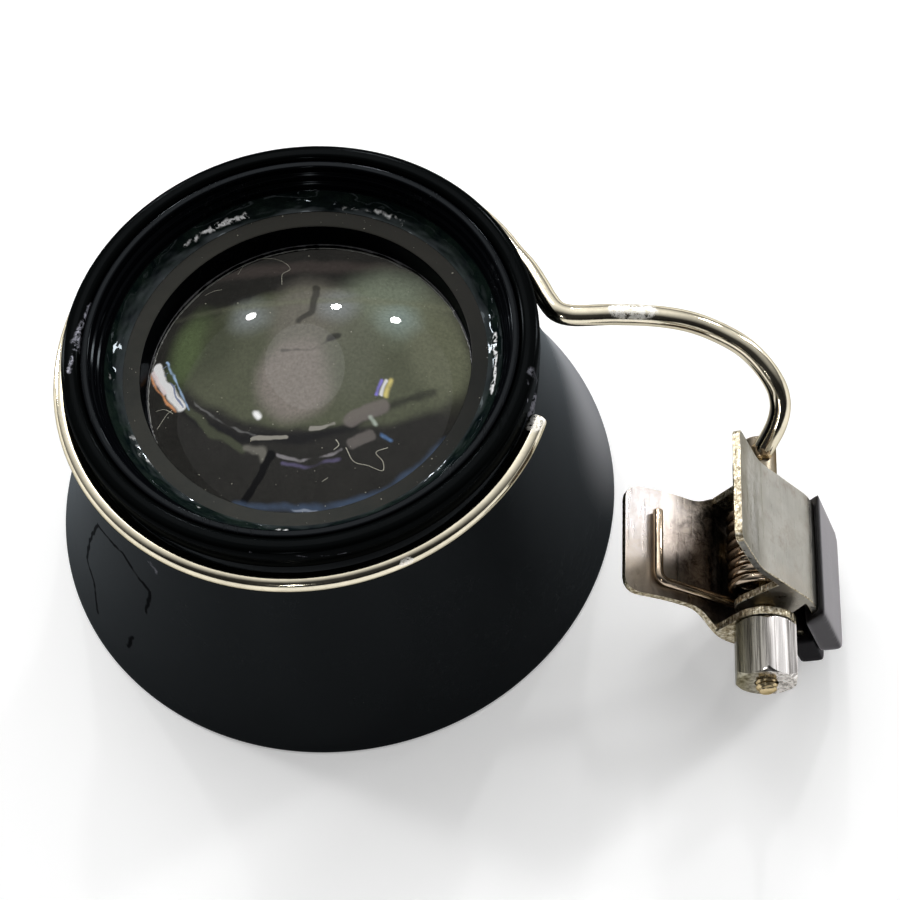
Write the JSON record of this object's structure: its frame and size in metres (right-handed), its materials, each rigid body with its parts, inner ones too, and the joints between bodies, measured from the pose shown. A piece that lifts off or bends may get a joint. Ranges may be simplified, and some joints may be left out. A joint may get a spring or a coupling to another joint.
{
  "type": "watchmaker eye loupe",
  "caption": "Clip-on eye loupe: a black flared eyecup with a deep-set lens, held in a sprung wire ring whose arm carries a small spring clip with rubber jaws.",
  "frame": {"origin": "on the table, at the middle of the whole footprint", "axes": "+Z along the lens axis away from the eye, +X from the loupe towards its clip"},
  "size_m": [0.051, 0.037, 0.0196],
  "materials": {
    "cup_plastic": "polished black moulding with fine scratches",
    "cell_plastic": "polished black turned cell",
    "ring_plastic": "dark grey-brown, half gloss",
    "lens_glass": "polished",
    "nickel_wire": "nickel plate, lightly worn",
    "solder": "uneven solder",
    "barrel_metal": "tarnished nickel",
    "screw_brass": "bare brass thread",
    "nut_nickel": "nickel plate with drawn lines",
    "sheet_nickel": "satin nickel sheet, tarnished in places",
    "spring_steel": "drawn spring wire",
    "pad_rubber": "black dipped rubber"
  },
  "bodies": {
    "loupe": {"eyecup": "cup_plastic", "lens_cell": "cell_plastic", "retaining_ring": "ring_plastic", "lens": "lens_glass"},
    "arm": {"clip_wire": "nickel_wire", "wire_solder": "solder", "axle_barrel": "barrel_metal", "axle_screw": "screw_brass", "hex_nut": "nut_nickel"},
    "clip_back": {"back_jaw_plate": "sheet_nickel", "back_jaw_pad": "pad_rubber", "torsion_spring": "spring_steel"},
    "clip_front": {"front_jaw_plate": "sheet_nickel", "front_jaw_pad": "pad_rubber"}
  },
  "joints": [
    {"name": "arm_swing", "type": "hinge", "parent": "loupe", "child": "arm", "pos_m": [-0.007, 0, 0.0169], "axis": [0, 0, 1], "continuous": true},
    {"name": "clip_swivel", "type": "hinge", "parent": "arm", "child": "clip_back", "pos_m": [0.02034, -0.0084, 0.008], "axis": [0, 1, 0], "continuous": true},
    {"name": "jaw_open", "type": "hinge", "parent": "clip_back", "child": "clip_front", "pos_m": [0.02034, -0.0084, 0.008], "axis": [0, -1, 0], "range_deg": [0, 30], "stiffness_Nm_per_rad": 0.012, "springref_deg": -28.65, "deforming": ["torsion_spring"]}
  ]
}
